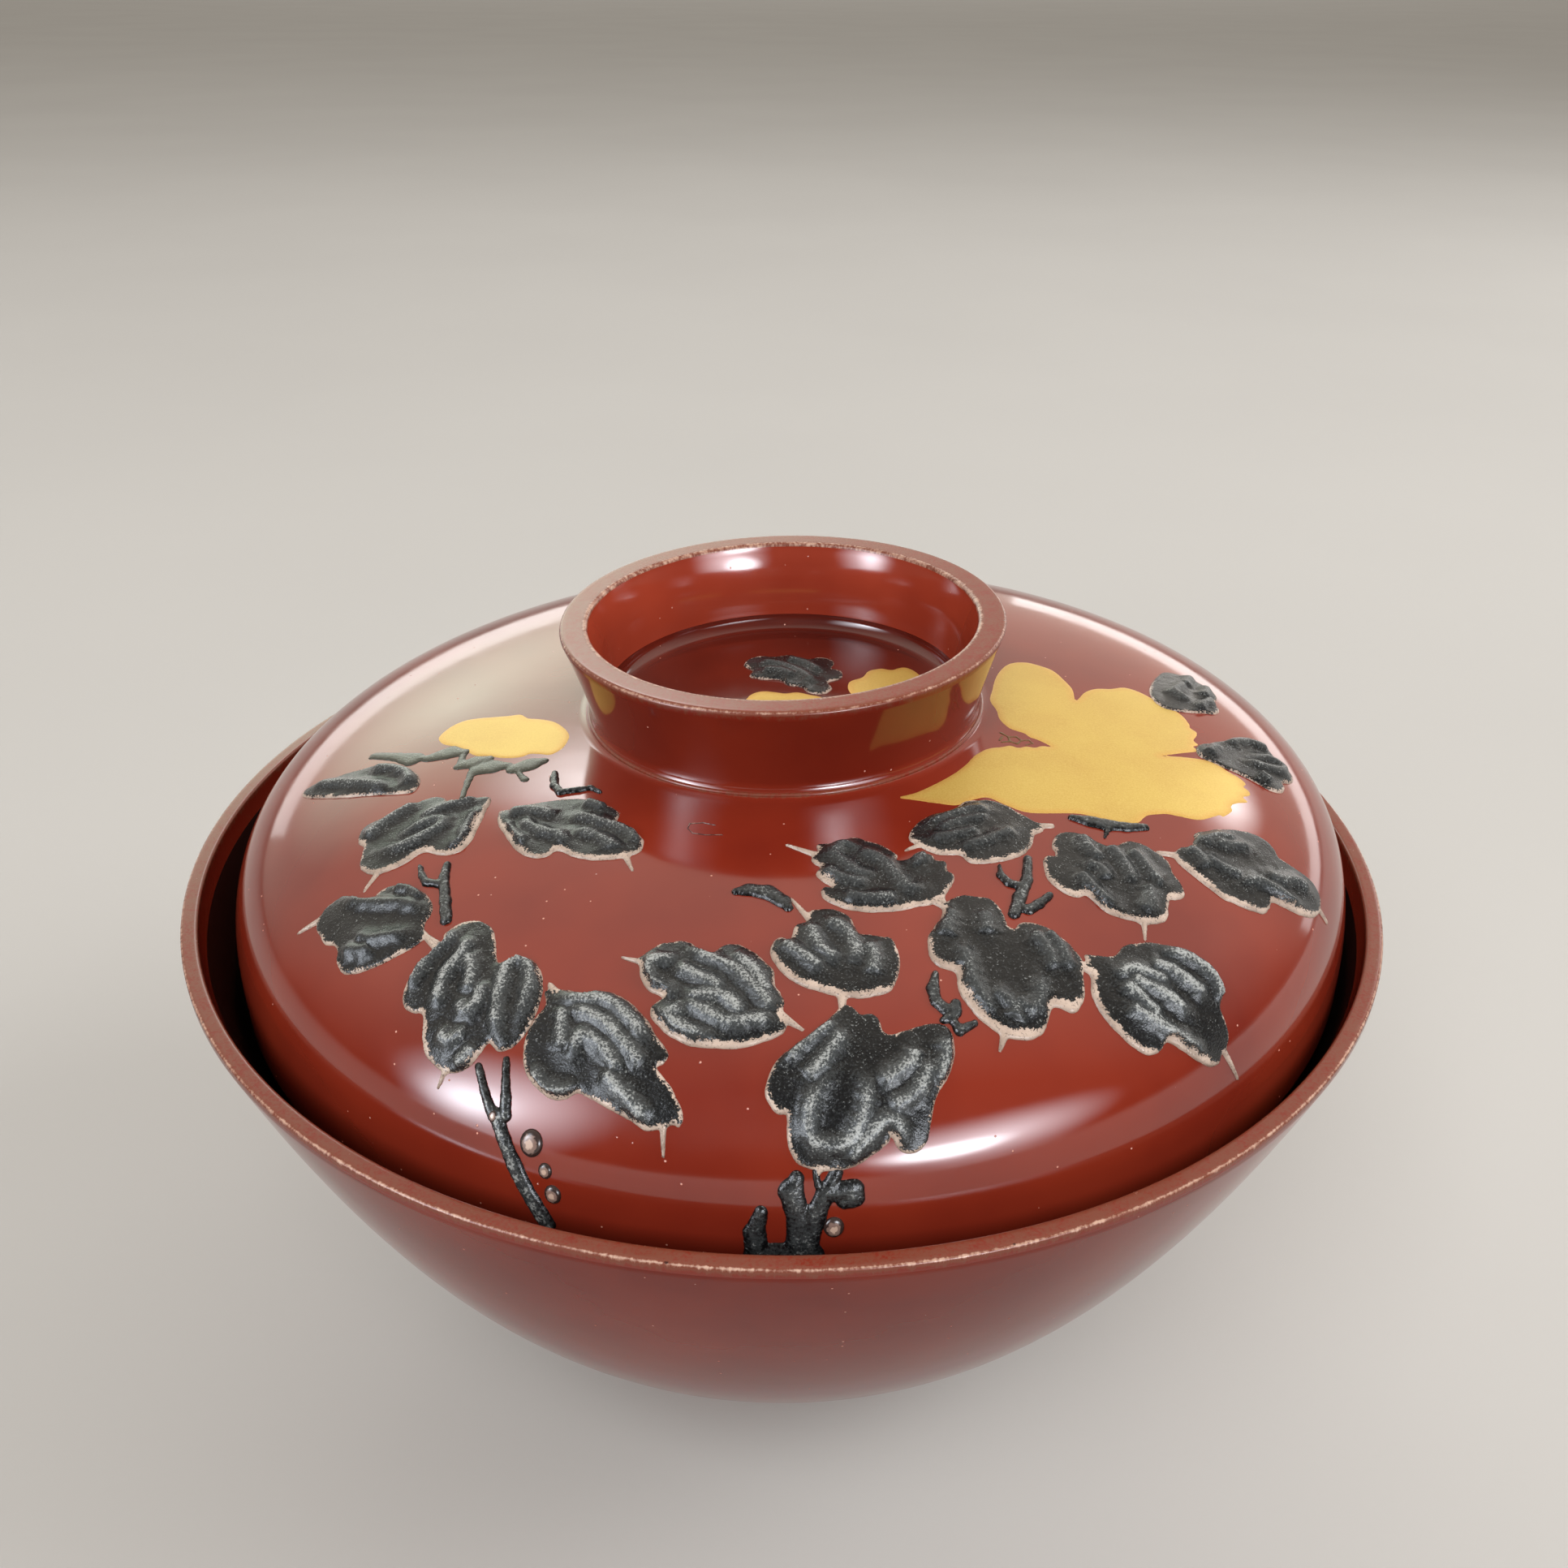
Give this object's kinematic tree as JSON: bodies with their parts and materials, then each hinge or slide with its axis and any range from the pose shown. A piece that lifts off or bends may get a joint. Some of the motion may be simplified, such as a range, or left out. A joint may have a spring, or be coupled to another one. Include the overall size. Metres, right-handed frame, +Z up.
{
  "type": "lacquer lidded bowl",
  "caption": "Turned-wood soup bowl with its lid on: red-brown gloss lacquer, black inside, raised dark leaves and gold blossom on the lid.",
  "frame": {"origin": "middle of the bowl's foot ring, in the plane it stands on", "axes": "+Z up through the bowl's middle; the side with the raised leaves faces -Y; the lid sits 0.8 mm towards +X and its -X side hangs 1.7 degrees lower"},
  "size_m": [0.129, 0.129, 0.0866],
  "materials": {
    "bowl_lacquer": "gloss red-brown lacquer outside, black lacquer inside",
    "lid_lacquer": "gloss red-brown lacquer with raised black leaves and gold powder decoration"
  },
  "bodies": {
    "root": {"bowl": "bowl_lacquer", "lid": "lid_lacquer"}
  },
  "joints": []
}
